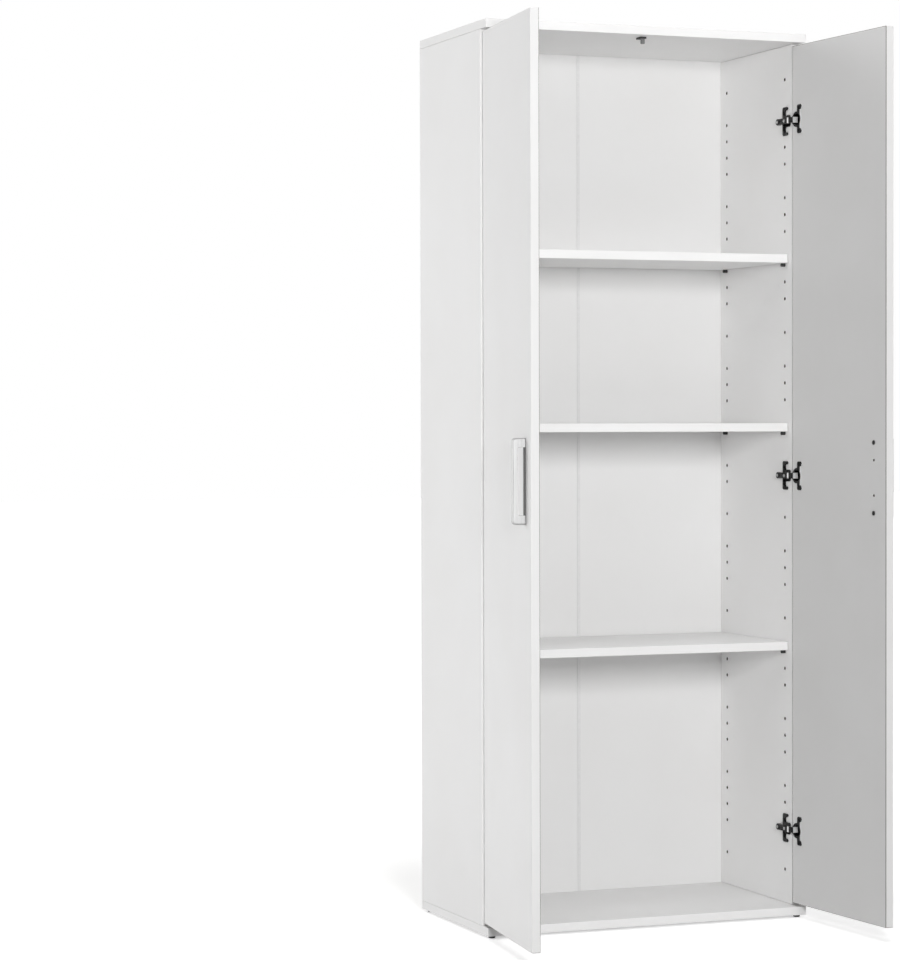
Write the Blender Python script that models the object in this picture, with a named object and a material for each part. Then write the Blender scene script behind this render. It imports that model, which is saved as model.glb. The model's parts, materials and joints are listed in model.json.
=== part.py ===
"""Utility cabinet: a tall two-door melamine cupboard with three adjustable shelves.

The frame is in metres with +Z up, +X to the right and the front towards -Y. The origin is on
the floor, under the middle of the carcass. Both doors stand open, as they do in the photograph.
"""

from math import asin, cos, hypot, pi, radians, sin

import bmesh
import bpy
from mathutils import Matrix, Vector

MM = 0.001

# Clearances
FIT_GAP = 0.3 * MM          # air between two pieces that touch on the real cabinet
OVERRUN = 2.0 * MM          # how far a cutter reaches past the face that it opens

# Carcass
WIDTH = 650 * MM
DEPTH = 340 * MM
SIDE_HEIGHT = 1632 * MM     # the side panels, between the bottom board and the top board
BOARD = 16 * MM             # thickness of the sides, top, bottom and shelves
DOOR = 16 * MM              # thickness of the doors
DOOR_SETBACK = 9 * MM       # the doors' front faces behind the front edges of top and bottom

# Glides under the bottom board
GLIDE_HEIGHT = 5 * MM
GLIDE_RADIUS = 6.5 * MM
GLIDE_EDGE = 7 * MM         # from the board's edges to a glide
GLIDE_CHAMFER = 1 * MM
NAIL_RADIUS = 1.7 * MM
NAIL_LENGTH = 10 * MM

# Back: two hardboard halves in a groove, joined by a plastic strip
PANEL = 3 * MM
GROOVE_DEPTH = 6 * MM
GROOVE_INSET = 8 * MM       # from the cabinet's rear face to the groove
STRIP_WEB = 1.2 * MM
STRIP_LEAF = 0.9 * MM       # thickness of the strip's front and rear leaves
STRIP_FRONT_WIDTH = 6 * MM
STRIP_REAR_WIDTH = 20 * MM

# Rows of pin holes in the side panels, counted from each end of a panel towards its middle
HOLE_PITCH = 32 * MM
FIRST_HOLE = 64 * MM        # from a panel's end to its first hole
HOLE_RADIUS = 2.5 * MM
HOLE_DEPTH = 10 * MM
FRONT_COLUMN = 28 * MM      # from a side panel's front edge
REAR_COLUMN = 39 * MM       # from a side panel's rear edge
DRILLED_ROWS = (0, 2, 3, 4, 5, 7, 8, 9, 11, 12, 13, 15, 17, 18, 19, 21, 23)
HINGE_ROW = 2.5             # hinges at the ends sit between the rows on both sides of this

# Shelves, by the end that their row is counted from and its share of that half's rows
SHELF_ROW_SHARES = {"upper": ("top", 11 / 23), "middle": ("top", 21 / 23), "lower": ("bottom", 13 / 23)}
SHELF_SETBACK = 14 * MM     # behind the side panels' front edges
SHELF_SIDE_GAP = 1.5 * MM
SHELF_REAR_GAP = 2.5 * MM
PIN_SHANK_LENGTH = 9 * MM
PIN_HEAD_RADIUS = 3.2 * MM
PIN_HEAD_LENGTH = 8 * MM

# Doors
REVEAL = 6 * MM             # side panel left uncovered beside a closed door
MEETING_GAP = 3 * MM
DOOR_END_GAP = 5 * MM       # above and below a door
LEFT_OPENING = radians(97)
RIGHT_OPENING = radians(94)

# Concealed cup hinges
CUP_RADIUS = 12.8 * MM
CUP_EDGE = 4 * MM           # from the door's edge to the cup
CUP_WALL = 1.2 * MM
CUP_FLOOR = 0.8 * MM
DOOR_SKIN = 4.4 * MM        # left of the door in front of a cup's pocket
PIVOT_INSET = 4 * MM        # from the door's edge to the hinge axis
PIVOT_RADIUS = 0.9 * MM
KNUCKLE_RADIUS = 1.9 * MM
KNUCKLE_CLEARANCE = 0.6 * MM
EAR_THICKNESS = 1.2 * MM
EAR_CLEARANCE = 0.4 * MM    # from the knuckle to the ears and to the end of the pocket
FLANGE_THICKNESS = 1.2 * MM
FLANGE_RIM = 1.8 * MM       # width of the flange around the cup
FLANGE_HEIGHT = 54 * MM
FLANGE_WING = 10 * MM       # width of the flange's two wings
FLANGE_OFFSET = 7 * MM      # from the cup's middle to the middle of the wings
FLANGE_HOOK = 7 * MM        # how far a wing's end reaches on, away from the hinge axis
FLANGE_LOBE = 7 * MM        # height of that end
FLANGE_CORNER = 2.5 * MM
ARM_WIDTH = 10.8 * MM
ARM_SHEET = 1.6 * MM
ARM_LIP_CLEARANCE = 3.2 * MM  # from the open door's edge to the arm's neck
ARM_BEND = 1.5 * MM         # inner radius of the gooseneck's bend
ARM_BODY_RISE = 2.5 * MM    # how far the arm's body stands out past its neck
ARM_BODY_START = 3 * MM     # behind the side panel's front edge
ARM_BODY_LENGTH = 45 * MM
ARM_TAIL_CHAMFER = 2.5 * MM
PLATE_THICKNESS = 2.2 * MM
PLATE_HEIGHT = 54 * MM
PLATE_WING = 9.5 * MM       # width of the plate's two wings
PLATE_HOOK = 10 * MM        # how far a wing's end reaches on towards the front
PLATE_LOBE = 6 * MM         # height of that end
PLATE_HUB_HEIGHT = 22 * MM
PLATE_HUB_REACH = 24 * MM   # from the column of holes to the hub's front end
PLATE_CORNER = 2.5 * MM

# Handles
SCREW_SPACING = 128 * MM
HANDLE_OVERHANG = 11 * MM   # from a screw's axis to the handle's end
HANDLE_WIDTH = 14 * MM
HANDLE_PROJECTION = 23 * MM
HANDLE_GRIP = 9 * MM        # thickness of the grip, measured away from the door
HANDLE_LEG = 16 * MM
HANDLE_OUTER_BEND = 6 * MM
HANDLE_INNER_BEND = 3 * MM
HANDLE_ROUNDING = 3 * MM    # rounding of the grip's front towards its two long edges
HANDLE_EDGE = 39 * MM       # from a door's free edge to the handle's middle
SPARE_SPACING = 64 * MM     # between the pilot holes for a shorter handle
SPARE_DEPTH = 10 * MM
SCREW_RADIUS = 1.7 * MM
SCREW_CLEARANCE = 0.7 * MM  # around a screw in the door
SCREW_HEAD_RADIUS = 4.2 * MM
SCREW_HEAD_HEIGHT = 2.4 * MM
SCREW_TOP_SHARE = 0.65      # the rounded head's flat top, as a share of its radius
THREAD_LENGTH = 9 * MM      # of a screw, inside the handle's leg

# Door stop under the top board
STOP_WIDTH = 12 * MM
STOP_LENGTH = 20 * MM
STOP_THICKNESS = 3.2 * MM
BUMPER_RADIUS = 4 * MM
BUMPER_HEIGHT = 9 * MM
PEG_RADIUS = 1.8 * MM
PEG_LENGTH = 2 * MM

# Fineness of round shapes
HOLE_SIDES = 8
PIN_SIDES = 12
CUP_SIDES = 20
INNER_STEPS = 3
OUTER_STEPS = 4
SMOOTH_ANGLE = radians(35)

# Places that follow from the sizes above
FRONT, REAR = -DEPTH / 2, DEPTH / 2
LEFT, RIGHT = -WIDTH / 2, WIDTH / 2
SIDE_INNER = RIGHT - BOARD                         # inner face of the right side panel
FLOOR_TOP = GLIDE_HEIGHT + BOARD                   # upper face of the bottom board
CEILING = FLOOR_TOP + SIDE_HEIGHT                  # lower face of the top board
MIDDLE = (FLOOR_TOP + CEILING) / 2
DOOR_EDGE = RIGHT - REVEAL                         # the right door's hinged edge, when closed
DOOR_FRONT = FRONT + DOOR_SETBACK
DOOR_BACK = DOOR_FRONT + DOOR
CUP_X = DOOR_EDGE - CUP_EDGE - CUP_RADIUS
POCKET_DEPTH = DOOR - DOOR_SKIN
PIVOT_DEPTH = POCKET_DEPTH - FIT_GAP - CUP_FLOOR - KNUCKLE_CLEARANCE - KNUCKLE_RADIUS
PIVOT_X = DOOR_EDGE - PIVOT_INSET                  # of the right door; the left one mirrors it
PIVOT_Y = DOOR_BACK - PIVOT_DEPTH
POCKET_MOUTH = PIVOT_X + KNUCKLE_RADIUS + EAR_CLEARANCE
CUP_MOUTH = POCKET_MOUTH - FIT_GAP
FLANGE_BACK = DOOR_BACK + FIT_GAP + FLANGE_THICKNESS
SWING = max(hypot(PIVOT_INSET, PIVOT_DEPTH), hypot(CUP_MOUTH - PIVOT_X, FLANGE_BACK - PIVOT_Y))
SIDE_FRONT = PIVOT_Y + SWING + FIT_GAP             # front edges of the side panels
GROOVE_REAR = REAR - GROOVE_INSET
GROOVE_FRONT = GROOVE_REAR - PANEL - 2 * FIT_GAP
PIN_COLUMNS = {"front": SIDE_FRONT + FRONT_COLUMN, "rear": REAR - REAR_COLUMN}
EAR_REACH = ARM_WIDTH / 2 + EAR_CLEARANCE + EAR_THICKNESS
HANDLE_LENGTH = SCREW_SPACING + 2 * HANDLE_OVERHANG
HANDLE_X = MEETING_GAP / 2 + HANDLE_EDGE           # of the right handle
HINGE_INSET = FIRST_HOLE + HINGE_ROW * HOLE_PITCH
HINGE_HEIGHTS = {"top": CEILING - HINGE_INSET, "middle": MIDDLE, "bottom": FLOOR_TOP + HINGE_INSET}
HANDS = {"left": -1, "right": 1}
ENDS = {"upper": 1, "lower": -1}

# Finishes: base colour, roughness, metallic
FINISHES = {
    "melamine": ((0.83, 0.83, 0.82), 0.45, 0.0),
    "hardboard": ((0.80, 0.80, 0.79), 0.55, 0.0),
    "white_plastic": ((0.78, 0.78, 0.77), 0.40, 0.0),
    "satin_aluminium": ((0.60, 0.60, 0.61), 0.32, 1.0),
    "dark_nickel": ((0.09, 0.09, 0.095), 0.30, 1.0),
    "zinc_steel": ((0.42, 0.42, 0.43), 0.35, 1.0),
    "black_plastic": ((0.02, 0.02, 0.02), 0.50, 0.0),
    "grey_rubber": ((0.25, 0.25, 0.25), 0.70, 0.0),
}


def clear_scene():
    for obj in list(bpy.data.objects):
        bpy.data.objects.remove(obj, do_unlink=True)


def finish(name, kind):
    """A Principled material of one of the finishes, made for one object."""
    colour, roughness, metallic = FINISHES[kind]
    material = bpy.data.materials.new(name + "_finish")
    material.use_nodes = True
    shader = material.node_tree.nodes["Principled BSDF"]
    shader.inputs["Base Color"].default_value = (*colour, 1.0)
    shader.inputs["Roughness"].default_value = roughness
    shader.inputs["Metallic"].default_value = metallic
    material.diffuse_color = (*colour, 1.0)
    return material


# Shapes, each made as a bmesh and drawn for the right hand with the doors closed


def arc(centre, radius, start, end, steps):
    """Points of an arc, both ends included."""
    angles = [start + (end - start) * i / steps for i in range(steps + 1)]
    return [(centre[0] + radius * cos(a), centre[1] + radius * sin(a)) for a in angles]


def circle(centre, radius, sides):
    return arc(centre, radius, 0, 2 * pi, sides)[:-1]


def prism(outline, axis, low, high):
    """An outline in the plane across an axis, drawn out along it from low to high.

    The outline's pairs are (x, y) for axis z, (y, z) for axis x and (z, x) for axis y.
    """
    place = {
        "z": lambda a, b, c: (a, b, c),
        "x": lambda a, b, c: (c, a, b),
        "y": lambda a, b, c: (b, c, a),
    }[axis]
    bm = bmesh.new()
    rings = [[bm.verts.new(place(a, b, c)) for a, b in outline] for c in (low, high)]
    bm.faces.new(rings[0][::-1])
    bm.faces.new(rings[1])
    count = len(outline)
    for i in range(count):
        j = (i + 1) % count
        bm.faces.new((rings[0][i], rings[0][j], rings[1][j], rings[1][i]))
    bmesh.ops.recalc_face_normals(bm, faces=bm.faces)
    return bm


def box(low, high):
    outline = ((low[0], low[1]), (high[0], low[1]), (high[0], high[1]), (low[0], high[1]))
    return prism(outline, "z", low[2], high[2])


def rod(centre, axis, radius, low, high, sides):
    return prism(circle(centre, radius, sides), axis, low, high)


def bore(centre, axis, radius, low, high):
    """A cutter for a round hole, whose flat sides lie at the hole's radius."""
    return rod(centre, axis, radius / cos(pi / HOLE_SIDES), low, high, HOLE_SIDES)


def turned(profile, sides):
    """A solid turned about Z from (radius, height) pairs, whose first and last radius is zero."""
    bm = bmesh.new()
    rings = []
    for radius, height in profile:
        if radius == 0:
            rings.append([bm.verts.new((0, 0, height))])
        else:
            rings.append([bm.verts.new((x, y, height)) for x, y in circle((0, 0), radius, sides)])
    for lower, upper in zip(rings, rings[1:]):
        for i in range(sides):
            j = (i + 1) % sides
            if len(lower) == 1:
                bm.faces.new((lower[0], upper[j], upper[i]))
            elif len(upper) == 1:
                bm.faces.new((lower[i], lower[j], upper[0]))
            else:
                bm.faces.new((lower[i], lower[j], upper[j], upper[i]))
    bmesh.ops.recalc_face_normals(bm, faces=bm.faces)
    return bm


def turn_to(bm, direction, place):
    """Turns a shape's +Z to a direction and moves its origin to a place."""
    turn = Vector((0, 0, 1)).rotation_difference(Vector(direction)).to_matrix().to_4x4()
    bmesh.ops.transform(bm, matrix=Matrix.Translation(place) @ turn, verts=bm.verts)
    return bm


def merged(shapes):
    """One bmesh that holds several separate shapes, for use as a cutter."""
    whole = bmesh.new()
    for shape in shapes:
        mesh = bpy.data.meshes.new("shape")
        shape.to_mesh(mesh)
        shape.free()
        whole.from_mesh(mesh)
        bpy.data.meshes.remove(mesh)
    return whole


def for_hand(bm, hand):
    """The shape as drawn for the right hand, or its mirror image in X for the left."""
    if HANDS[hand] < 0:
        bmesh.ops.scale(bm, vec=(-1, 1, 1), verts=bm.verts)
        bmesh.ops.reverse_faces(bm, faces=bm.faces)
    return bm


# Objects


def add_object(name, bm, parent=None, origin=(0, 0, 0)):
    """An object with its own origin, from a shape in the closed cabinet's frame."""
    bmesh.ops.translate(bm, vec=-Vector(origin), verts=bm.verts)
    mesh = bpy.data.meshes.new(name)
    bm.to_mesh(mesh)
    bm.free()
    obj = bpy.data.objects.new(name, mesh)
    bpy.context.scene.collection.objects.link(obj)
    obj.location = origin
    if parent:
        obj.parent = parent
        obj.location = Vector(origin) - Vector(parent.location)
    return obj


def add_piece(name, bm, kind, parent=None, origin=(0, 0, 0), smooth=False):
    piece = add_object(name, bm, parent, origin)
    piece.data.materials.append(finish(name, kind))
    if smooth:
        piece.data.shade_smooth()
        piece.data.set_sharp_from_angle(angle=SMOOTH_ANGLE)
    return piece


def change(piece, bm, operation, label):
    """Cuts a shape out of a piece, or joins it on, with an exact Boolean."""
    tool = add_object(piece.name + "_" + label, bm)
    tool.hide_render = True
    tool.display_type = "WIRE"
    if piece.parent:
        tool.parent = piece.parent
        tool.location = -Vector(piece.parent.location)
    modifier = piece.modifiers.new(label, "BOOLEAN")
    modifier.operation = operation
    modifier.solver = "EXACT"
    modifier.object = tool


def cut(piece, bm, label):
    change(piece, bm, "DIFFERENCE", label)


def join(piece, bm, label):
    change(piece, bm, "UNION", label)


def hinge_axis(hand):
    """The empty on a door's hinge axis, which carries the door and all that is fixed to it."""
    empty = bpy.data.objects.new(hand + "_hinge_axis", None)
    bpy.context.scene.collection.objects.link(empty)
    empty.location = (HANDS[hand] * PIVOT_X, PIVOT_Y, MIDDLE)
    return empty


# Carcass


def last_row():
    """The last row of pin holes before the middle of a side panel, from either end."""
    return int((SIDE_HEIGHT / 2 - FIRST_HOLE - HOLE_RADIUS) / HOLE_PITCH)


def row_height(end, row):
    reach = FIRST_HOLE + row * HOLE_PITCH
    return CEILING - reach if end == "top" else FLOOR_TOP + reach


def shelf_rows():
    """The end and the row of each shelf's pins."""
    return {level: (end, round(share * last_row())) for level, (end, share) in SHELF_ROW_SHARES.items()}


def drilled_heights():
    """Heights of all the holes in a column, with those that the shelf pins use."""
    heights = []
    for end in ("bottom", "top"):
        used = {row for side, row in shelf_rows().values() if side == end}
        heights += [row_height(end, row) for row in used.union(DRILLED_ROWS) if row <= last_row()]
    return heights


def side_panel(hand):
    low = (SIDE_INNER, SIDE_FRONT, FLOOR_TOP + FIT_GAP)
    high = (RIGHT, REAR, CEILING - FIT_GAP)
    panel = add_piece(hand + "_side", for_hand(box(low, high), hand), "melamine")
    groove = box(
        (SIDE_INNER - OVERRUN, GROOVE_FRONT, FLOOR_TOP - OVERRUN),
        (SIDE_INNER + GROOVE_DEPTH, GROOVE_REAR, CEILING + OVERRUN),
    )
    cut(panel, for_hand(groove, hand), "groove")
    holes = [
        bore((y, z), "x", HOLE_RADIUS, SIDE_INNER - OVERRUN, SIDE_INNER + HOLE_DEPTH)
        for y in PIN_COLUMNS.values()
        for z in drilled_heights()
    ]
    cut(panel, for_hand(merged(holes), hand), "pin_holes")


def stopped_groove(low, high):
    """The groove for the back in the top or bottom board, which ends short of its sides."""
    reach = SIDE_INNER + GROOVE_DEPTH
    return box((-reach, GROOVE_FRONT, low), (reach, GROOVE_REAR, high))


def top_board():
    shape = box((LEFT, FRONT, CEILING), (RIGHT, REAR, CEILING + BOARD))
    board = add_piece("top_board", shape, "melamine")
    cut(board, stopped_groove(CEILING - OVERRUN, CEILING + GROOVE_DEPTH), "groove")


def glide_places():
    inset = GLIDE_EDGE + GLIDE_RADIUS
    columns = {"left": LEFT + inset, "right": RIGHT - inset}
    rows = {"front": FRONT + inset, "rear": REAR - inset}
    return {f"{row}_{column}": (columns[column], rows[row]) for row in rows for column in columns}


def bottom_board():
    shape = box((LEFT, FRONT, GLIDE_HEIGHT), (RIGHT, REAR, FLOOR_TOP))
    board = add_piece("bottom_board", shape, "melamine")
    cut(board, stopped_groove(FLOOR_TOP - GROOVE_DEPTH, FLOOR_TOP + OVERRUN), "groove")
    low, high = GLIDE_HEIGHT - OVERRUN, GLIDE_HEIGHT + NAIL_LENGTH + FIT_GAP
    holes = [bore(place, "z", NAIL_RADIUS + FIT_GAP, low, high) for place in glide_places().values()]
    cut(board, merged(holes), "nail_holes")


def glides():
    seat, tip = GLIDE_HEIGHT - FIT_GAP, GLIDE_HEIGHT + NAIL_LENGTH
    profile = (
        (0, 0),
        (GLIDE_RADIUS - GLIDE_CHAMFER, 0),
        (GLIDE_RADIUS, GLIDE_CHAMFER),
        (GLIDE_RADIUS, seat),
        (NAIL_RADIUS, seat),
        (NAIL_RADIUS, tip),
        (0, tip),
    )
    for corner, (x, y) in glide_places().items():
        shape = turn_to(turned(profile, PIN_SIDES), (0, 0, 1), (x, y, 0))
        add_piece("glide_" + corner, shape, "black_plastic", origin=(x, y, 0), smooth=True)


def back_panels():
    """The two halves of the back, on both sides of the strip's web."""
    reach = GROOVE_DEPTH - FIT_GAP
    low = (STRIP_WEB / 2 + FIT_GAP, GROOVE_FRONT + FIT_GAP, FLOOR_TOP - reach)
    high = (SIDE_INNER + reach, GROOVE_REAR - FIT_GAP, CEILING + reach)
    for hand in HANDS:
        add_piece("back_panel_" + hand, for_hand(box(low, high), hand), "hardboard")


def back_joint_strip():
    """A strip shaped like an H in plan, with a narrow front leaf and a wide rear one."""
    web, narrow, wide = STRIP_WEB / 2, STRIP_FRONT_WIDTH / 2, STRIP_REAR_WIDTH / 2
    half = (
        (narrow, GROOVE_FRONT - STRIP_LEAF),
        (narrow, GROOVE_FRONT),
        (web, GROOVE_FRONT),
        (web, GROOVE_REAR),
        (wide, GROOVE_REAR),
        (wide, GROOVE_REAR + STRIP_LEAF),
    )
    outline = list(half) + [(-x, y) for x, y in reversed(half)]
    strip = prism(outline, "z", FLOOR_TOP + FIT_GAP, CEILING - FIT_GAP)
    add_piece("back_joint_strip", strip, "white_plastic")


# Shelves


def shelf_pin(name, hand, y, z):
    """A stepped pin: its shank is in the side panel and its head carries the shelf."""
    profile = (
        (0, -PIN_SHANK_LENGTH),
        (HOLE_RADIUS - FIT_GAP, -PIN_SHANK_LENGTH),
        (HOLE_RADIUS - FIT_GAP, FIT_GAP),
        (PIN_HEAD_RADIUS, FIT_GAP),
        (PIN_HEAD_RADIUS, PIN_HEAD_LENGTH),
        (0, PIN_HEAD_LENGTH),
    )
    shape = turn_to(turned(profile, PIN_SIDES), (-1, 0, 0), (SIDE_INNER, y, z))
    origin = (HANDS[hand] * SIDE_INNER, y, z)
    add_piece(name, for_hand(shape, hand), "black_plastic", origin=origin, smooth=True)


def shelves():
    reach = SIDE_INNER - SHELF_SIDE_GAP
    front = SIDE_FRONT + SHELF_SETBACK
    rear = GROOVE_FRONT - STRIP_LEAF - SHELF_REAR_GAP
    for level, (end, row) in shelf_rows().items():
        pin_height = row_height(end, row)
        bottom = pin_height + PIN_HEAD_RADIUS + FIT_GAP
        shape = box((-reach, front, bottom), (reach, rear, bottom + BOARD))
        add_piece("shelf_" + level, shape, "melamine", origin=(0, 0, bottom))
        for hand in HANDS:
            for column, y in PIN_COLUMNS.items():
                shelf_pin(f"shelf_pin_{level}_{hand}_{column}", hand, y, pin_height)


# Doors and handles


def channelled(radius, half_width, mouth):
    """A circle around the cup's middle with a channel to the door's edge, as (z, x) pairs."""
    side = asin(half_width / radius)
    points = arc((0, CUP_X), radius, pi / 2 + side, 5 * pi / 2 - side, CUP_SIDES)
    return points + [(half_width, mouth), (-half_width, mouth)]


def moved_up(outline, height):
    return [(z + height, x) for z, x in outline]


def door(hand, parent):
    shape = box((MEETING_GAP / 2, DOOR_FRONT, FLOOR_TOP + DOOR_END_GAP),
                (DOOR_EDGE, DOOR_BACK, CEILING - DOOR_END_GAP))
    origin = (HANDS[hand] * PIVOT_X, PIVOT_Y, MIDDLE)
    panel = add_piece(hand + "_door", for_hand(shape, hand), "melamine", parent, origin)
    outline = channelled(CUP_RADIUS + FIT_GAP, EAR_REACH + FIT_GAP, POCKET_MOUTH)
    pockets = [
        prism(moved_up(outline, height), "y", DOOR_BACK - POCKET_DEPTH, DOOR_BACK + OVERRUN)
        for height in HINGE_HEIGHTS.values()
    ]
    cut(panel, for_hand(merged(pockets), hand), "cup_pockets")
    front, back, radius = DOOR_FRONT - OVERRUN, DOOR_BACK + OVERRUN, SCREW_RADIUS + SCREW_CLEARANCE
    holes = []
    for way in ENDS.values():
        screw = (MIDDLE + way * SCREW_SPACING / 2, HANDLE_X)
        spare = (MIDDLE + way * SPARE_SPACING / 2, HANDLE_X)
        holes.append(bore(screw, "y", radius, front, back))
        holes.append(bore(spare, "y", radius, DOOR_BACK - SPARE_DEPTH, back))
    cut(panel, for_hand(merged(holes), hand), "handle_holes")


def handle_slice(inset):
    """The handle's side view as (distance from the door, height) pairs.

    The inset draws the outer line in, which rounds the grip's front towards its long edges.
    """
    half, depth = HANDLE_LENGTH / 2 - inset, HANDLE_PROJECTION - inset
    gap, inner = HANDLE_LENGTH / 2 - HANDLE_LEG, HANDLE_PROJECTION - HANDLE_GRIP
    bend, hollow = HANDLE_OUTER_BEND, HANDLE_INNER_BEND
    upper = [(FIT_GAP, gap)]
    upper += arc((inner - hollow, gap - hollow), hollow, pi / 2, 0, INNER_STEPS)
    lower = [(distance, -height) for distance, height in reversed(upper)]
    outer = [(FIT_GAP, -half)]
    outer += arc((depth - bend, bend - half), bend, -pi / 2, 0, OUTER_STEPS)
    outer += arc((depth - bend, half - bend), bend, 0, pi / 2, OUTER_STEPS)
    outer += [(FIT_GAP, half)]
    return upper + lower + outer


def handle_shape():
    """The right door's bow handle, as slices across its width that are joined up."""
    half, rounding = HANDLE_WIDTH / 2, HANDLE_ROUNDING
    turns = [pi / 2 * i / OUTER_STEPS for i in range(OUTER_STEPS + 1)]
    edge = [(half - rounding * (1 - sin(turn)), rounding * (1 - cos(turn))) for turn in turns]
    stations = [(-offset, inset) for offset, inset in reversed(edge)] + edge
    bm = bmesh.new()
    rings = []
    for offset, inset in stations:
        points = [(HANDLE_X + offset, DOOR_FRONT - d, MIDDLE + z) for d, z in handle_slice(inset)]
        rings.append([bm.verts.new(point) for point in points])
    bm.faces.new(rings[0])
    bm.faces.new(rings[-1][::-1])
    count = len(rings[0])
    for first, second in zip(rings, rings[1:]):
        for i in range(count):
            j = (i + 1) % count
            bm.faces.new((first[i], second[i], second[j], first[j]))
    bmesh.ops.recalc_face_normals(bm, faces=bm.faces)
    return bm


def handle(hand, parent):
    x, shape = HANDS[hand] * HANDLE_X, for_hand(handle_shape(), hand)
    origin = (x, DOOR_FRONT, MIDDLE)
    piece = add_piece(hand + "_handle", shape, "satin_aluminium", parent, origin, smooth=True)
    deep = DOOR_FRONT - THREAD_LENGTH - FIT_GAP
    threads = [
        bore((MIDDLE + way * SCREW_SPACING / 2, HANDLE_X), "y", SCREW_RADIUS + FIT_GAP, deep,
             DOOR_FRONT + OVERRUN)
        for way in ENDS.values()
    ]
    cut(piece, for_hand(merged(threads), hand), "screw_holes")
    head = FIT_GAP + SCREW_HEAD_HEIGHT
    profile = (
        (0, -DOOR - THREAD_LENGTH),
        (SCREW_RADIUS, -DOOR - THREAD_LENGTH),
        (SCREW_RADIUS, FIT_GAP),
        (SCREW_HEAD_RADIUS, FIT_GAP),
        (SCREW_HEAD_RADIUS, head / 2),
        (SCREW_HEAD_RADIUS * SCREW_TOP_SHARE, head),
        (0, head),
    )
    for end, way in ENDS.items():
        height = MIDDLE + way * SCREW_SPACING / 2
        shape = turn_to(turned(profile, PIN_SIDES), (0, 1, 0), (HANDLE_X, DOOR_BACK, height))
        add_piece(f"{hand}_handle_screw_{end}", for_hand(shape, hand), "zinc_steel", parent,
                  (x, DOOR_BACK, height), smooth=True)


# Hinges


def flange_outline():
    """The cup's flange: a rim with two hooked wings and the channel's end, as (z, x) pairs."""
    radius, half = CUP_RADIUS + FLANGE_RIM, FLANGE_HEIGHT / 2
    near, far = FLANGE_WING / 2 - FLANGE_OFFSET, -FLANGE_WING / 2 - FLANGE_OFFSET
    tip, lobe, corner = far - FLANGE_HOOK, FLANGE_LOBE - half, FLANGE_CORNER
    lower_wing = [
        (corner - half, near),
        (-half, near - corner),
        (-half, tip + corner),
        (corner - half, tip),
        (lobe - corner, tip),
        (lobe, tip + corner),
        (lobe + corner, far),
    ]
    lower_wing = [(z, CUP_X + x) for z, x in lower_wing]
    upper_wing = [(-z, x) for z, x in reversed(lower_wing)]
    channel, centre = EAR_REACH + FIT_GAP, (0, CUP_X)
    side, near_waist, far_waist = (asin(x / radius) for x in (channel, near, -far))
    steps = CUP_SIDES // OUTER_STEPS
    outline = [(-channel, CUP_MOUTH)]
    outline += arc(centre, radius, pi / 2 + side, pi - near_waist, steps)
    outline += lower_wing
    outline += arc(centre, radius, pi + far_waist, 2 * pi - far_waist, steps)
    outline += upper_wing
    outline += arc(centre, radius, 2 * pi + near_waist, 5 * pi / 2 - side, steps)
    return outline + [(channel, CUP_MOUTH)]


def hinge_cup(name, hand, height, parent):
    """The cup in the door, with its flange and the two ears that hold the hinge's pin."""
    bottom, seat = DOOR_BACK - POCKET_DEPTH + FIT_GAP, DOOR_BACK + FIT_GAP
    bowl = moved_up(channelled(CUP_RADIUS, EAR_REACH, CUP_MOUTH), height)
    shape = for_hand(prism(bowl, "y", bottom, (seat + FLANGE_BACK) / 2), hand)
    origin = (HANDS[hand] * PIVOT_X, PIVOT_Y, height)
    cup = add_piece(name, shape, "dark_nickel", parent, origin, smooth=True)
    flange = prism(moved_up(flange_outline(), height), "y", seat, FLANGE_BACK)
    join(cup, for_hand(flange, hand), "flange")
    hollow = channelled(CUP_RADIUS - CUP_WALL, EAR_REACH - EAR_THICKNESS, CUP_MOUTH + OVERRUN)
    space = prism(moved_up(hollow, height), "y", bottom + CUP_FLOOR, FLANGE_BACK + OVERRUN)
    cut(cup, for_hand(space, hand), "hollow")
    reach = EAR_REACH + OVERRUN
    holes = bore((PIVOT_X, PIVOT_Y), "z", PIVOT_RADIUS + FIT_GAP, height - reach, height + reach)
    cut(cup, for_hand(holes, hand), "pin_holes")


def arm_outline():
    """The arm in plan, from its rolled knuckle over the gooseneck to its body, as (x, y) pairs."""
    low = PIVOT_Y - KNUCKLE_RADIUS
    high = low + ARM_SHEET
    reach = PIVOT_DEPTH + ARM_SHEET / 2 + ARM_LIP_CLEARANCE
    neck_inner, neck_outer = PIVOT_X - reach + ARM_SHEET / 2, PIVOT_X - reach - ARM_SHEET / 2
    body_inner = SIDE_INNER - PLATE_THICKNESS - 2 * FIT_GAP
    body_outer = neck_outer - ARM_BODY_RISE
    start = SIDE_FRONT + ARM_BODY_START
    end = start + ARM_BODY_LENGTH
    outer_bend = ARM_BEND + ARM_SHEET
    corner = (neck_outer + outer_bend, low + outer_bend)
    sheet_side = asin((PIVOT_Y - high) / KNUCKLE_RADIUS)
    points = arc((PIVOT_X, PIVOT_Y), KNUCKLE_RADIUS, -pi / 2, pi + sheet_side, PIN_SIDES)
    points += arc(corner, ARM_BEND, -pi / 2, -pi, INNER_STEPS)
    points += [
        (neck_inner, start - ARM_BODY_RISE),
        (body_inner, start),
        (body_inner, end - ARM_TAIL_CHAMFER),
        (body_inner - ARM_TAIL_CHAMFER, end),
        (body_outer + ARM_TAIL_CHAMFER, end),
        (body_outer, end - ARM_TAIL_CHAMFER),
        (body_outer, start),
        (neck_outer, start - ARM_BODY_RISE),
    ]
    return points + arc(corner, outer_bend, pi, 3 * pi / 2, INNER_STEPS)


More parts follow.
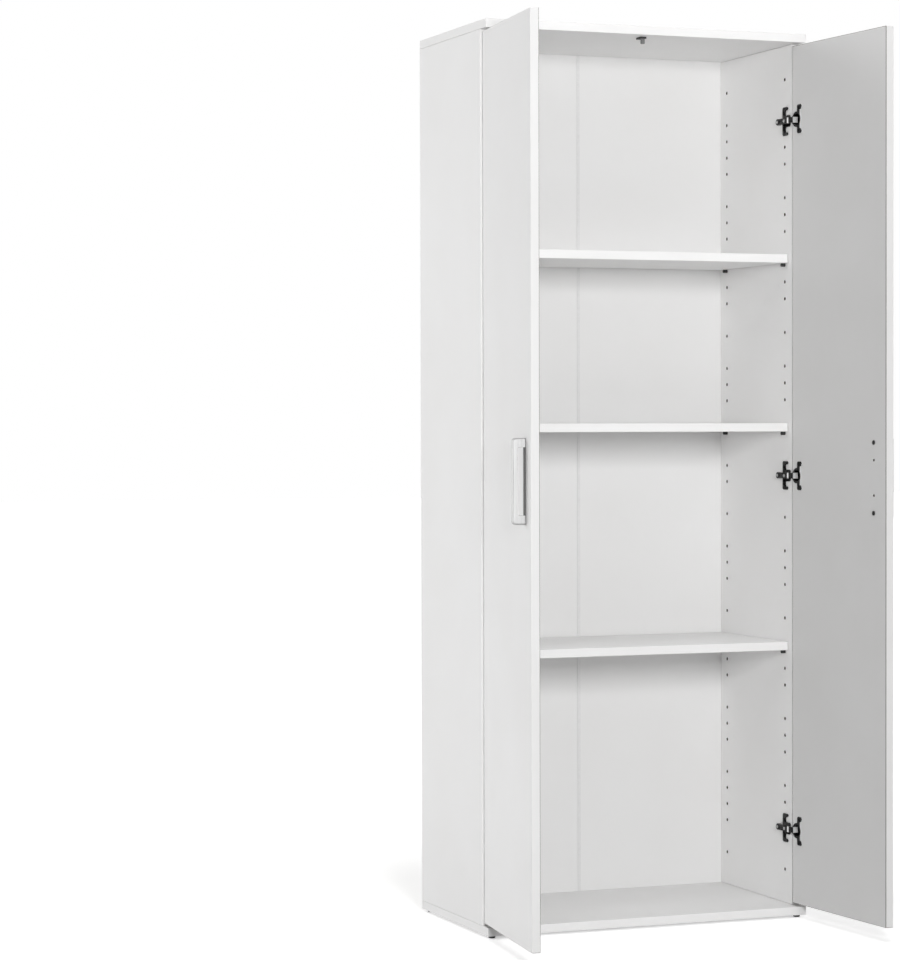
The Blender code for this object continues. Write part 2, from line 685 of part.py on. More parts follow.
def hinge_arm(name, hand, height):
    low, high = height - ARM_WIDTH / 2, height + ARM_WIDTH / 2
    shape = for_hand(prism(arm_outline(), "z", low, high), hand)
    origin = (HANDS[hand] * PIVOT_X, PIVOT_Y, height)
    arm = add_piece(name, shape, "dark_nickel", origin=origin, smooth=True)
    hole = bore((PIVOT_X, PIVOT_Y), "z", PIVOT_RADIUS + FIT_GAP, low - OVERRUN, high + OVERRUN)
    cut(arm, for_hand(hole, hand), "pin_hole")


def hinge_plate(name, hand, height):
    """The mounting plate on the side panel: two wings hooked forward, and a hub under the arm."""
    column, seat = PIN_COLUMNS["front"], SIDE_INNER - FIT_GAP
    wing, tall, hub, corner = PLATE_WING / 2, PLATE_HEIGHT / 2, PLATE_HUB_HEIGHT / 2, PLATE_CORNER
    reach, tip, lobe = PLATE_HUB_REACH, wing + PLATE_HOOK, tall - PLATE_LOBE
    upper = [
        (wing, tall - corner),
        (wing - corner, tall),
        (corner - tip, tall),
        (-tip, tall - corner),
        (-tip, lobe + corner),
        (corner - tip, lobe),
        (-wing - corner, lobe),
        (-wing, lobe - corner),
        (-wing, hub + corner),
        (-wing - corner, hub),
        (corner - reach, hub),
        (-reach, hub - corner),
    ]
    outline = [(column + y, height + z) for y, z in upper]
    outline += [(column + y, height - z) for y, z in reversed(upper)]
    shape = for_hand(prism(outline, "x", seat - PLATE_THICKNESS, seat), hand)
    add_piece(name, shape, "dark_nickel", origin=(HANDS[hand] * seat, column, height))


def hinge_pin(name, hand, height):
    reach = EAR_REACH - FIT_GAP
    place = (PIVOT_X, PIVOT_Y)
    shape = rod(place, "z", PIVOT_RADIUS, height - reach, height + reach, HOLE_SIDES)
    origin = (HANDS[hand] * PIVOT_X, PIVOT_Y, height)
    add_piece(name, for_hand(shape, hand), "zinc_steel", origin=origin, smooth=True)


def hinges(hand, parent):
    for level, height in HINGE_HEIGHTS.items():
        stem = f"{hand}_hinge_{level}"
        hinge_plate(stem + "_plate", hand, height)
        hinge_arm(stem + "_arm", hand, height)
        hinge_pin(stem + "_pin", hand, height)
        hinge_cup(stem + "_cup", hand, height, parent)


# Door stop


def door_stop():
    """A plate under the top board with a rubber bumper, which both closed doors meet."""
    top = CEILING - FIT_GAP
    bottom = top - STOP_THICKNESS
    front, half = DOOR_BACK + FIT_GAP, STOP_WIDTH / 2
    shape = box((-half, front, bottom), (half, front + STOP_LENGTH, top))
    plate = add_piece("door_stop_plate", shape, "black_plastic", origin=(0, front, top))
    y, seat = front + BUMPER_RADIUS, bottom - FIT_GAP
    tip = bottom + PEG_LENGTH
    cut(plate, bore((0, y), "z", PEG_RADIUS + FIT_GAP, bottom - OVERRUN, tip + FIT_GAP), "peg_hole")
    profile = (
        (0, -BUMPER_HEIGHT),
        (BUMPER_RADIUS, -BUMPER_HEIGHT),
        (BUMPER_RADIUS, 0),
        (PEG_RADIUS, 0),
        (PEG_RADIUS, tip - seat),
        (0, tip - seat),
    )
    bumper = turn_to(turned(profile, PIN_SIDES), (0, 0, 1), (0, y, seat))
    add_piece("door_stop_bumper", bumper, "grey_rubber", origin=(0, y, seat), smooth=True)


def build():
    clear_scene()
    bottom_board()
    top_board()
    glides()
    back_panels()
    back_joint_strip()
    shelves()
    door_stop()
    for hand, opening in (("left", LEFT_OPENING), ("right", RIGHT_OPENING)):
        side_panel(hand)
        axis = hinge_axis(hand)
        door(hand, axis)
        handle(hand, axis)
        hinges(hand, axis)
        axis.rotation_euler.z = HANDS[hand] * opening


build()
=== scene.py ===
"""Utility cabinet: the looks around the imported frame, in metres, with the doors open.

Shapes are drawn with the doors closed, and hinge pieces for the right hand. What rides on a door
is then turned to the rest pose, and what belongs to the left hand is mirrored first.
"""

import json
from math import asin, cos, pi, radians, sin

import bmesh
import bpy
from mathutils import Matrix, Vector


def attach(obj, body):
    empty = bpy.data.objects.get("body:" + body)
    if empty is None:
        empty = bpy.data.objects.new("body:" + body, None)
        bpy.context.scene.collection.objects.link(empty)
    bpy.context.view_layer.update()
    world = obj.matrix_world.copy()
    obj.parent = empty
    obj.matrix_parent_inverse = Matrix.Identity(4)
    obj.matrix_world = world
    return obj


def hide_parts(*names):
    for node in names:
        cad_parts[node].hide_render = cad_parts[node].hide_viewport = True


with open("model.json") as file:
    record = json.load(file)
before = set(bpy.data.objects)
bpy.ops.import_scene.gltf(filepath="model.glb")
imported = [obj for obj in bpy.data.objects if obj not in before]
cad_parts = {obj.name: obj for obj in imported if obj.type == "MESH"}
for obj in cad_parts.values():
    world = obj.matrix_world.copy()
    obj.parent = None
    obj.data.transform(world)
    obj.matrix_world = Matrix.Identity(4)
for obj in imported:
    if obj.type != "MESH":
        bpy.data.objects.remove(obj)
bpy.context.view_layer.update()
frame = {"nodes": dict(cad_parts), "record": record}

MM = 0.001
scene = bpy.context.scene
nodes = frame["nodes"]
slot_of = {entry["node"]: entry["material_slot"] for entry in frame["record"]["subparts"]}
behaviour = frame["record"]["behaviour"]
body_of = {node: body for body, members in behaviour["bodies"].items() for node in members}
joint_of = {joint["child"]: joint for joint in behaviour["joints"]}

HANDS = {"left": -1, "right": 1}
LEVELS = ("top", "middle", "bottom")


# Materials

COATING_SPECULAR = 0.22     # of melamine film and of lacquer
CLOUDS = 0.012              # how far the film's tone strays to either side


class Nodes:
    """A small helper that adds shader nodes and links them."""

    def __init__(self, name):
        self.material = bpy.data.materials.new(name)
        self.material.use_nodes = True
        self.tree = self.material.node_tree
        self.shader = self.tree.nodes["Principled BSDF"]
        self.coordinates = self.add("ShaderNodeTexCoord").outputs["Object"]

    def add(self, kind, **inputs):
        node = self.tree.nodes.new(kind)
        for key, value in inputs.items():
            self.put(node.inputs[key], value)
        return node

    def put(self, socket, value):
        if isinstance(value, bpy.types.NodeSocket):
            self.tree.links.new(value, socket)
        else:
            socket.default_value = value

    def noise(self, scale, detail=2.0, stretch=(1, 1, 1)):
        mapping = self.add("ShaderNodeMapping", Vector=self.coordinates, Scale=stretch)
        place = mapping.outputs["Vector"]
        noise = self.add("ShaderNodeTexNoise", Vector=place, Scale=scale, Detail=detail)
        return noise.outputs["Fac"]

    def ramp(self, factor, low, high, ends=(0.3, 0.7)):
        """The colour that a factor gives, from low to high between two values of it."""
        node = self.add("ShaderNodeValToRGB", Fac=factor)
        for element, place, colour in zip(node.color_ramp.elements, ends, (low, high)):
            element.position = place
            element.color = (*colour, 1.0)
        return node.outputs["Color"]

    def spread(self, factor, low, high):
        node = self.add("ShaderNodeMapRange", Value=factor)
        node.inputs["To Min"].default_value = low
        node.inputs["To Max"].default_value = high
        return node.outputs["Result"]

    def bump(self, height, distance, strength, under=None):
        """A bumped normal, on top of another one if it is given."""
        node = self.add("ShaderNodeBump", Height=height, Distance=distance, Strength=strength)
        if under:
            self.put(node.inputs["Normal"], under)
        return node.outputs["Normal"]

    def finish(self, colour, roughness, normal, metallic=0.0, specular=0.5, anisotropic=0.0):
        inputs = self.shader.inputs
        self.put(inputs["Base Color"], colour)
        self.put(inputs["Roughness"], roughness)
        self.put(inputs["Normal"], normal)
        inputs["Metallic"].default_value = metallic
        inputs["Specular IOR Level"].default_value = specular
        inputs["Anisotropic"].default_value = anisotropic
        return self.material


def grey(value, warmth=0.0):
    return (value, value * (1 - warmth / 2), value * (1 - warmth))


def melamine(name, tone):
    """White melamine: a fine pearl texture, faint clouds in its tone and in its gloss."""
    n = Nodes(name)
    clouds = n.noise(scale=5.0, detail=3.0)
    colour = n.ramp(clouds, grey(tone - CLOUDS, 0.010), grey(tone + CLOUDS, 0.004))
    gloss = n.spread(n.noise(scale=60.0), 0.40, 0.52)
    pearl = n.bump(n.noise(scale=1400.0, detail=3.0), 0.06 * MM, 0.35)
    waves = n.bump(n.noise(scale=9.0, detail=1.0), 0.4 * MM, 0.25, pearl)
    return n.finish(colour, gloss, waves, specular=COATING_SPECULAR)


def chipboard(name):
    """Bare chipboard: pressed chips, painted dark to stand for the shade in the holes and below the
    doors.
    """
    n = Nodes(name)
    chips = n.noise(scale=420.0, detail=4.0, stretch=(1, 1, 0.5))
    colour = n.ramp(chips, (0.030, 0.022, 0.016), (0.085, 0.062, 0.042))
    gloss = n.spread(chips, 0.78, 0.92)
    return n.finish(colour, gloss, n.bump(chips, 0.3 * MM, 0.6), specular=0.2)


def hardboard(name):
    """Lacquered hardboard, white in front and raw and fibrous behind."""
    n = Nodes(name)
    clouds = n.noise(scale=4.0, detail=3.0)
    front = n.ramp(clouds, grey(0.81, 0.008), grey(0.83, 0.002))
    fibres = n.noise(scale=160.0, detail=5.0, stretch=(1, 1, 0.35))
    raw = n.ramp(fibres, (0.50, 0.46, 0.40), (0.66, 0.62, 0.56), ends=(0.25, 0.75))
    normal = n.add("ShaderNodeNewGeometry").outputs["Normal"]
    behind = n.add("ShaderNodeMath", Value=n.add("ShaderNodeSeparateXYZ", Vector=normal).outputs["Y"])
    behind.operation = "GREATER_THAN"
    behind.inputs[1].default_value = 0.7
    mix = n.add("ShaderNodeMix")
    mix.data_type = "RGBA"
    n.put(mix.inputs["Factor"], behind.outputs["Value"])
    n.put(mix.inputs["A"], front)
    n.put(mix.inputs["B"], raw)
    gloss = n.spread(clouds, 0.42, 0.56)
    screen = n.bump(fibres, 0.08 * MM, 0.3)
    return n.finish(mix.outputs["Result"], gloss, screen, specular=COATING_SPECULAR)


def plastic(name, low, high, roughness, grain=900.0, depth=0.05 * MM):
    """Moulded plastic or rubber with a fine grain."""
    n = Nodes(name)
    colour = n.ramp(n.noise(scale=120.0, detail=3.0), grey(low), grey(high))
    gloss = n.spread(n.noise(scale=300.0), roughness - 0.06, roughness + 0.06)
    return n.finish(colour, gloss, n.bump(n.noise(grain, detail=3.0), depth, 0.5))


def brushed(name, low, high, roughness, stretch):
    """Satin metal with fine brush lines along one way."""
    n = Nodes(name)
    lines = n.noise(scale=1.0, detail=3.0, stretch=stretch)
    colour = n.ramp(lines, grey(low), grey(high))
    gloss = n.spread(lines, roughness - 0.07, roughness + 0.07)
    return n.finish(colour, gloss, n.bump(lines, 0.03 * MM, 0.25), metallic=1.0, anisotropic=0.4)


def plated(name, low, high, roughness, metallic=1.0):
    """Plated sheet metal with slight stains and a faint rolled texture."""
    n = Nodes(name)
    stains = n.noise(scale=260.0, detail=4.0)
    colour = n.ramp(stains, grey(low), grey(high))
    gloss = n.spread(n.noise(scale=520.0), roughness - 0.08, roughness + 0.08)
    return n.finish(colour, gloss, n.bump(stains, 0.04 * MM, 0.3), metallic=metallic)


MATERIALS = {
    "melamine": melamine("white_melamine", 0.84),
    "side_film": melamine("side_outer_melamine", 0.84),
    # Painted light: the sides' inner faces get a lighter tone than their outer ones.
    "side_inner_film": melamine("side_inner_melamine", 0.93),
    "door_film": melamine("door_front_melamine", 0.87),
    # Painted shade: the doors' backs get a darker tone than their fronts.
    "door_back_film": melamine("door_back_melamine", 0.72),
    # Painted shade: the doors' edge band gets a darker tone, for the shade along the seams.
    "edge_band": melamine("door_edge_band", 0.76),
    "chipboard": chipboard("bare_chipboard"),
    "hardboard": hardboard("lacquered_hardboard"),
    "white_plastic": plastic("white_strip_plastic", 0.74, 0.78, 0.42),
    "satin_aluminium": brushed("satin_aluminium_brushed", 0.33, 0.43, 0.54, (900, 900, 14)),
    # Nickel plating painted almost black, for the dark reflections that the silver hinges show; their
    # highlights are painted with the bright nickel below.
    "dark_nickel": plated("dark_nickel_plating", 0.014, 0.032, 0.34),
    # Painted highlight: a pale, mostly diffuse nickel for the hinge faces that look towards the front.
    "bright_nickel": plated("worn_bright_nickel", 0.74, 0.88, 0.30, metallic=0.2),
    "zinc_steel": plated("zinc_plating", 0.38, 0.55, 0.36),
    "blackened_steel": plated("blackened_screw_steel", 0.04, 0.08, 0.42),
    "black_plastic": plastic("black_moulded_plastic", 0.012, 0.028, 0.50),
    "grey_rubber": plastic("grey_bumper_rubber", 0.17, 0.24, 0.72, grain=500.0, depth=0.1 * MM),
}


# Shapes

WELD = 0.02 * MM            # corners nearer to each other than this are one
FLAT = radians(0.6)         # faces that meet at less than this are one


def arc(centre, radius, start, end, steps):
    """Points of an arc, both ends included."""
    angles = [start + (end - start) * i / steps for i in range(steps + 1)]
    return [(centre[0] + radius * cos(a), centre[1] + radius * sin(a)) for a in angles]


def rounded_box(centre, half_sizes, radius, steps):
    """The outline of a box with rounded corners."""
    outline = []
    for i, signs in enumerate(((1, 1), (-1, 1), (-1, -1), (1, -1))):
        corner = [c + s * (half - radius) for c, s, half in zip(centre, signs, half_sizes)]
        outline += arc(corner, radius, pi / 2 * i, pi / 2 * (i + 1), steps)
    return outline


def prism(outline, axis, low, high, taper=1.0):
    """An outline across an axis, drawn out along it; the taper draws in the end at low.

    The outline's pairs are (x, y) for axis z, (y, z) for axis x and (z, x) for axis y.
    """
    place = {
        "z": lambda a, b, c: (a, b, c),
        "x": lambda a, b, c: (c, a, b),
        "y": lambda a, b, c: (b, c, a),
    }[axis]
    bm = bmesh.new()
    rings = [
        [bm.verts.new(place(a * scale, b * scale, c)) for a, b in outline]
        for c, scale in ((low, taper), (high, 1.0))
    ]
    bm.faces.new(rings[0][::-1])
    bm.faces.new(rings[1])
    for i in range(len(outline)):
        j = (i + 1) % len(outline)
        bm.faces.new((rings[0][i], rings[0][j], rings[1][j], rings[1][i]))
    bmesh.ops.recalc_face_normals(bm, faces=bm.faces)
    return bm


def turned(profile, sides):
    """A solid turned about Z from (radius, height) pairs, whose first and last radius is zero."""
    bm = bmesh.new()
    rings = []
    for radius, height in profile:
        count = sides if radius else 1
        points = arc((0, 0), radius, 0, 2 * pi, count)[:count]
        rings.append([bm.verts.new((x, y, height)) for x, y in points])
    for lower, upper in zip(rings, rings[1:]):
        for i in range(sides):
            j = (i + 1) % sides
            corners = [lower[i % len(lower)], lower[j % len(lower)],
                       upper[j % len(upper)], upper[i % len(upper)]]
            bm.faces.new(list(dict.fromkeys(corners)))
    bmesh.ops.recalc_face_normals(bm, faces=bm.faces)
    return bm


def pointed_to(bm, direction, place):
    """Turns a shape's +Z to a direction and moves its origin to a place."""
    turn = Vector((0, 0, 1)).rotation_difference(Vector(direction)).to_matrix().to_4x4()
    bm.transform(Matrix.Translation(place) @ turn)
    return bm


def gathered(shapes):
    """One bmesh that holds several shapes."""
    whole = bmesh.new()
    for shape in shapes:
        mesh = bpy.data.meshes.new("shape")
        shape.to_mesh(mesh)
        shape.free()
        whole.from_mesh(mesh)
        bpy.data.meshes.remove(mesh)
    return whole


def carved(bm, tool):
    """The first closed shape without the second."""
    pair = []
    for shape in (bm, tool):
        mesh = bpy.data.meshes.new("shape")
        shape.to_mesh(mesh)
        shape.free()
        obj = bpy.data.objects.new("shape", mesh)
        scene.collection.objects.link(obj)
        pair.append(obj)
    modifier = pair[0].modifiers.new("carve", "BOOLEAN")
    modifier.operation = "DIFFERENCE"
    modifier.solver = "EXACT"
    modifier.object = pair[1]
    result = bmesh.new()
    result.from_object(pair[0], bpy.context.evaluated_depsgraph_get())
    for obj in pair:
        mesh = obj.data
        bpy.data.objects.remove(obj)
        bpy.data.meshes.remove(mesh)
    return result


def mirrored(bm, hand):
    """The shape itself for the right hand, and its mirror image in X for the left."""
    if HANDS[hand] < 0:
        bmesh.ops.scale(bm, vec=(-1, 1, 1), verts=bm.verts)
        bmesh.ops.reverse_faces(bm, faces=bm.faces)
    return bm


def span(bm):
    """The lowest and the highest corner of a shape."""
    sides = [[v.co[i] for v in bm.verts] for i in range(3)]
    return Vector(map(min, sides)), Vector(map(max, sides))


def cut_away(bm, place, direction):
    """Removes what lies past a place in a direction, and returns the edges of the opening."""
    cut = bmesh.ops.bisect_plane(bm, geom=bm.verts[:] + bm.edges[:] + bm.faces[:], dist=WELD / 2,
                                 plane_co=place, plane_no=direction, clear_outer=True)
    return [e for e in cut["geom_cut"] if isinstance(e, bmesh.types.BMEdge)]


def swing(body):
    """The turn from closed to the rest pose, for what rides on a body."""
    if body not in joint_of:
        return Matrix.Identity(4)
    joint = joint_of[body]
    there = Matrix.Translation(joint["pos_m"])
    opened = radians(-joint["range_deg"][0]) * joint["axis"][2]
    return there @ Matrix.Rotation(opened, 4, "Z") @ there.inverted()


def closed_copy(node):
    """The node's mesh with its door closed, its split corners joined and its flat faces whole."""
    bm = bmesh.new()
    bm.from_mesh(nodes[node].data)
    bm.transform(swing(body_of[node]).inverted())
    bmesh.ops.remove_doubles(bm, verts=bm.verts, dist=WELD)
    bmesh.ops.dissolve_limit(bm, angle_limit=FLAT, verts=bm.verts, edges=bm.edges)
    bmesh.ops.recalc_face_normals(bm, faces=bm.faces)
    return bm


def box_of(node):
    """The lowest and the highest corner of a node with its door closed."""
    bm = closed_copy(node)
    corners = span(bm)
    bm.free()
    return corners


def is_ridge(edge, angle):
    """Whether an edge sticks out and its faces turn by more than an angle in degrees."""
    return len(edge.link_faces) == 2 and edge.is_convex and edge.calc_face_angle(0) > radians(angle)


def sharp_edges(bm, angle=60, shortest=0.0):
    """Outward edges that are sharper than an angle in degrees and longer than a length."""
    return [e for e in bm.edges if e.calc_length() > shortest and is_ridge(e, angle)]


def ease(bm, edges, radius, segments=2, material=0):
    """Bevels edges, and gives the new faces one of the piece's materials."""
    bmesh.ops.bevel(bm, geom=list(edges), offset=radius, offset_type="OFFSET", segments=segments,
                    profile=0.5, affect="EDGES", clamp_overlap=True, material=material)
    return bm


def add_piece(name, bm, kinds, body, smooth=30, stands_for=()):
    """An object from a shape that is drawn with the doors closed."""
    bm.transform(swing(body))
    mesh = bpy.data.meshes.new(name)
    bm.to_mesh(mesh)
    bm.free()
    piece = bpy.data.objects.new(name, mesh)
    scene.collection.objects.link(piece)
    mesh.shade_smooth()
    mesh.set_sharp_from_angle(angle=radians(smooth))
    for kind in kinds:
        mesh.materials.append(MATERIALS[kind])
    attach(piece, body)
    if stands_for:
        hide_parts(*stands_for)
    weigh = piece.modifiers.new("weigh", "WEIGHTED_NORMAL")
    weigh.keep_sharp = True


def finer(node, suffix, bm, kinds=None, smooth=30):
    """A piece that takes the place of one node."""
    slot = slot_of[node]
    add_piece(node + suffix, bm, kinds or (slot,), body_of[node], smooth, (node,))


# Boards

EDGE_RADIUS = 0.8 * MM
SHORTEST_BANDED_EDGE = 15 * MM
FILM = 0.1 * MM             # faces deeper than this inside a board are bare
COUNTERSINK = 0.6 * MM
SMALL_HOLE_EDGE = 3 * MM    # the rims of screw and pin holes have edges shorter than this
BARE = 1                    # the second material of a board
FRONT, BEHIND, BELOW = (0, -1, 0), (0, 1, 0), (0, 0, -1)


def faces_way(face, *ways):
    return any(face.normal.dot(Vector(way)) > 0.9 for way in ways)


def board(node, edges="melamine", films=(), bare_seams=()):
    """A board as in the CAD, with eased edges and with bare, countersunk holes.

    The films are (direction, kind) pairs. Along a face that looks a way of the bare seams, the
    eased edges show the joint between film and edge band.
    """
    bm = closed_copy(node)
    low, high = span(bm)
    for face in bm.faces:
        centre = face.calc_center_median()
        depth = min(min(centre[i] - low[i], high[i] - centre[i]) for i in range(3))
        for i, (way, _) in enumerate(films, BARE + 1):
            if faces_way(face, way):
                face.material_index = i
        if depth > FILM:
            face.material_index = BARE
    long_edges = sharp_edges(bm, shortest=SHORTEST_BANDED_EDGE)
    seams = [e for e in long_edges if any(faces_way(f, *bare_seams) for f in e.link_faces)]
    ease(bm, seams, EDGE_RADIUS, material=BARE)
    ease(bm, sharp_edges(bm, shortest=SHORTEST_BANDED_EDGE), EDGE_RADIUS)
    rims = [
        e for e in sharp_edges(bm) if e.calc_length() < SMALL_HOLE_EDGE
        and sorted(f.material_index == BARE for f in e.link_faces) == [False, True]
    ]
    ease(bm, rims, COUNTERSINK, segments=1, material=BARE)
    finer(node, "_eased", bm, (edges, "chipboard", *(kind for _, kind in films)))


for node in ("top_board", "bottom_board", "shelf_upper", "shelf_middle", "shelf_lower"):
    board(node)
for hand, sign in HANDS.items():
    # The sides' inner faces get the lighter film, which is painted light.
    board(hand + "_side", "side_film", [((-sign, 0, 0), "side_inner_film")])
    # Painted shade: a door's back gets a darker film than its front, and its bottom gets the chipboard
    # that is painted dark.
    films = [(FRONT, "door_film"), (BEHIND, "door_back_film"), (BELOW, "chipboard")]
    # A door's edges take the darker edge band, which paints the shade along the seams.
    board(hand + "_door", "edge_band", films, (BEHIND, BELOW))


# Screws

SCREW_SIDES = 24
DOME_STEPS = 4
RIM_SHARE = 1 / 3           # of a head's height, below its dome
RECESS_REACH = 0.62         # the cross, in shares of the head's radius
RECESS_HALF_WIDTH = 0.13
RECESS_FLOOR = 0.3          # in shares of the head's height
RECESS_TAPER = 0.6
HANDLE_SCREW_HEAD = 4.2 * MM
HANDLE_SCREW_HEIGHT = 2.4 * MM
HANDLE_SCREW_SHANK = 1.7 * MM


def screw(head_radius, head_height, shank_radius, shank_length):
    """A pan-head screw along +Z, whose head stands on z = 0, with a cross recess."""
    rim = RIM_SHARE * head_height
    profile = [(0, -shank_length), (shank_radius, -shank_length), (shank_radius, 0), (head_radius, 0)]
    for i in range(DOME_STEPS):
        turn = pi / 2 * i / DOME_STEPS
        profile.append((head_radius * cos(turn), rim + (head_height - rim) * sin(turn)))
    profile.append((0, head_height))
    reach = RECESS_REACH * head_radius
    half = RECESS_HALF_WIDTH * head_radius
    cross = [
        (x * cos(a) - y * sin(a), x * sin(a) + y * cos(a))
        for a in (0, pi / 2, pi, 3 * pi / 2) for x, y in ((reach, -half), (reach, half), (half, half))
    ]
    recess = prism(cross, "z", RECESS_FLOOR * head_height, 1.5 * head_height, RECESS_TAPER)
    return carved(turned(profile, SCREW_SIDES), recess)


for hand in HANDS:
    for end in ("upper", "lower"):
        node = f"{hand}_handle_screw_{end}"
        low, high = box_of(node)
        seat = high.y - HANDLE_SCREW_HEIGHT
        shape = screw(HANDLE_SCREW_HEAD, HANDLE_SCREW_HEIGHT, HANDLE_SCREW_SHANK, seat - low.y)
        place = ((low.x + high.x) / 2, seat, (low.z + high.z) / 2)
        finer(node, "_cross_head", pointed_to(shape, BEHIND, place), ("blackened_steel",))


# Handles

STRIP_THICKNESS = 0.9 * MM
STRIP_INSET = 1 * MM        # from the handle's long edges to the strip's
STRIP_CORNER = 2 * MM
HANDLE_EDGE_RADIUS = 0.4 * MM

for hand in HANDS:
    node = hand + "_handle"
    bm = closed_copy(node)
    low, high = span(bm)
    door_face = box_of(hand + "_door")[0].y
    seat = door_face - STRIP_THICKNESS
    ease(bm, sharp_edges(bm, angle=50), HANDLE_EDGE_RADIUS)
    bmesh.ops.holes_fill(bm, edges=cut_away(bm, (0, seat, 0), BEHIND))
    finer(node, "_bow", bm, smooth=35)
    middle = ((low.z + high.z) / 2, (low.x + high.x) / 2)
    half_sizes = ((high.z - low.z) / 2, (high.x - low.x) / 2 - STRIP_INSET)
    outline = rounded_box(middle, half_sizes, STRIP_CORNER, DOME_STEPS)
    strip = prism(outline, "y", seat, door_face)
    add_piece(node + "_base_strip", strip, ("black_plastic",), body_of[node])


# Hinges

SHEET_CORNER = 1.7 * MM
SHEET_RIM = 0.3 * MM
ROUND_STEPS = 3
ARM_BODY = 45 * MM          # length of the arm's body
TAIL_RADIUS = 6.1 * MM
TAIL_STEPS = 16
ARM_RIM = 0.9 * MM
STEP_DEPTH = 3 * MM         # of the slanting step in front of the arm's body
SLOT = (-24 * MM, -15 * MM)  # both ends of the arm's slot, from the arm's tail
SLOT_RADIUS = 2.2 * MM
SLOT_STEPS = 8
SLOT_DEPTH = 1 * MM
ARM_SCREWS = (-6.1 * MM, -34 * MM)  # from the arm's tail
CUP_HIGHLIGHT_DEPTH = 1.3 * MM    # how deep the painted highlight on the cup's rim goes
PLATE_SCREW_INSET = 4.75 * MM  # from the plate's rear edge
PLATE_SCREW_REACH = 16 * MM    # above and below the hinge's middle
CUP_SCREW_INSET = 12 * MM      # from the tips of the flange's hooks
CUP_SCREW_REACH = 21 * MM
SCREW_SIZES = {  # radius and height of the head, radius and length of the shank
    "plate": (3.6 * MM, 1.5 * MM, 1.6 * MM, 1.5 * MM),
    "arm": (3.0 * MM, 1.2 * MM, 1.5 * MM, 2.0 * MM),
    "cup": (3.6 * MM, 1.5 * MM, 1.6 * MM, 1.1 * MM),
}
INWARD = (-1, 0, 0)         # on the right hand
ALONG = 0.99                # the least cosine between directions that count as one
NEARBY = 0.1 * MM           # how far off a face or corner may lie when it is looked for
X, Y = 0, 1


def pressed(bm, axis):
    """Rounds a pressed sheet's corners and eases its rims; the axis goes through the sheet."""
    corners = [
        e for e in bm.edges
        if len(e.link_faces) == 2 and e.calc_face_angle(0) > radians(25)
        and abs((e.verts[1].co - e.verts[0].co).normalized()[axis]) > ALONG
    ]
    ease(bm, corners, SHEET_CORNER, ROUND_STEPS)
    rims = {e for f in bm.faces if abs(f.normal[axis]) > ALONG for e in f.edges if is_ridge(e, 60)}
    return ease(bm, rims, SHEET_RIM)


def paint_highlight(bm, way, start, end, least=0.5):
    """Paints a highlight on the faces that look one way, between two depths, by giving them the piece's
    second, bright material.
    """
    for face in bm.faces:
        if face.normal.dot(Vector(way)) > least and start < face.calc_center_median().y < end:
            face.material_index = 1
    return bm


def arm_shape(bm):
    """The arm with its body rounded and lobed at the tail, and a slot between its screws."""
    low, high = span(bm)
    middle = (low.z + high.z) / 2
    half = (high.z - low.z) / 2
    start = high.y - ARM_BODY
    cut_away(bm, (0, start, 0), BEHIND)
    seat = max(v.co.x for v in bm.verts if abs(v.co.y - start) < NEARBY)
    side = pi - asin(half / TAIL_RADIUS)
    outline = [(start, middle + half), (start, middle - half)]
    outline += arc((high.y - TAIL_RADIUS, middle), TAIL_RADIUS, -side, side, TAIL_STEPS)
    body = prism(outline, "x", low.x, seat)
    front = [f for f in body.faces if faces_way(f, FRONT) and f.calc_center_median().y < start + NEARBY]
    bmesh.ops.delete(body, geom=front, context="FACES_ONLY")
    whole = gathered((bm, body))
    bmesh.ops.remove_doubles(whole, verts=whole.verts, dist=WELD)
    bmesh.ops.recalc_face_normals(whole, faces=whole.faces)
    rims = {
        e for f in whole.faces if f.normal.x < -ALONG and f.calc_center_median().y > start
        for e in f.edges if is_ridge(e, 40)
    }
    ease(whole, rims, ARM_RIM, ROUND_STEPS)
    first, last = [(high.y + end, middle) for end in SLOT]
    hole = arc(first, SLOT_RADIUS, pi / 2, 3 * pi / 2, SLOT_STEPS)
    hole += arc(last, SLOT_RADIUS, -pi / 2, pi / 2, SLOT_STEPS)
    whole = carved(whole, prism(hole, "x", low.x - SLOT_DEPTH, low.x + SLOT_DEPTH))
    # Painted highlights on the faces that look to the front: the slanting step and the front end of the
    # arm.
    paint_highlight(whole, FRONT, start - STEP_DEPTH, start + NEARBY)
    return paint_highlight(whole, FRONT, low.y - NEARBY, low.y + NEARBY, least=0.97)


def add_screws(piece, hand, slot, direction, places):
    """The screws of a hinge piece, as one piece; places and direction are the right hand's."""
    size = SCREW_SIZES[piece.rsplit("_", 1)[1]]
    shape = gathered([pointed_to(screw(*size), direction, place) for place in places])
    add_piece(piece + "_screws", mirrored(shape, hand), (slot,), body_of[piece])


